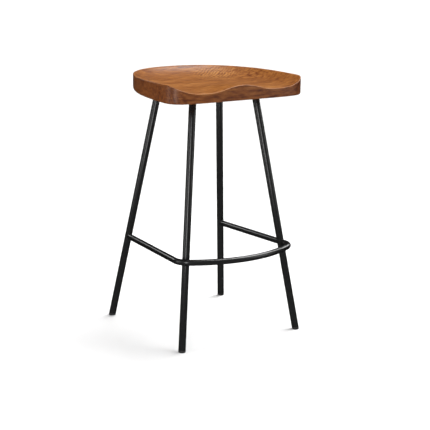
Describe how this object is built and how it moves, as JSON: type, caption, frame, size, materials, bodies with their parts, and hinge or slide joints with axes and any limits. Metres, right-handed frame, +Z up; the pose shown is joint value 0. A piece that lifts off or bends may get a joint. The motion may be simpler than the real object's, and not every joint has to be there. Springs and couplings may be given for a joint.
{
  "type": "bar stool",
  "caption": "Backless counter-height stool with a carved wooden saddle seat, splayed steel tube legs and a bent tube footrest round the front.",
  "frame": {"origin": "on the floor, under the middle of the overall box", "axes": "+Z up; the front of the seat and the footrest's bow face -Y; left is -X when the stool is seen from the front"},
  "size_m": [0.419, 0.4064, 0.6858],
  "materials": {
    "lacquered_wood": "brown stain under a satin clear lacquer",
    "black_steel": "black powder coat, semi-gloss",
    "black_plastic": "moulded, fine matt",
    "zinc_steel": "bright zinc plate",
    "brass": "plain turned"
  },
  "bodies": {
    "root": {"seat": "lacquered_wood", "leg_front_left": "black_steel", "leg_front_right": "black_steel", "leg_rear_left": "black_steel", "leg_rear_right": "black_steel", "foot_plug_front_left": "black_plastic", "foot_plug_front_right": "black_plastic", "foot_plug_rear_left": "black_plastic", "foot_plug_rear_right": "black_plastic", "footrest": "black_steel", "frame_front_bar": "black_steel", "frame_rear_bar": "black_steel", "frame_left_bar": "black_steel", "frame_right_bar": "black_steel", "frame_corner_welds": "black_steel", "leg_weld_front_left": "black_steel", "leg_weld_front_right": "black_steel", "leg_weld_rear_left": "black_steel", "leg_weld_rear_right": "black_steel", "rest_weld_front_left": "black_steel", "rest_weld_front_right": "black_steel", "rest_weld_rear_left": "black_steel", "rest_weld_rear_right": "black_steel", "seat_screws": "zinc_steel", "seat_washers": "zinc_steel", "seat_inserts": "brass"}
  },
  "joints": []
}
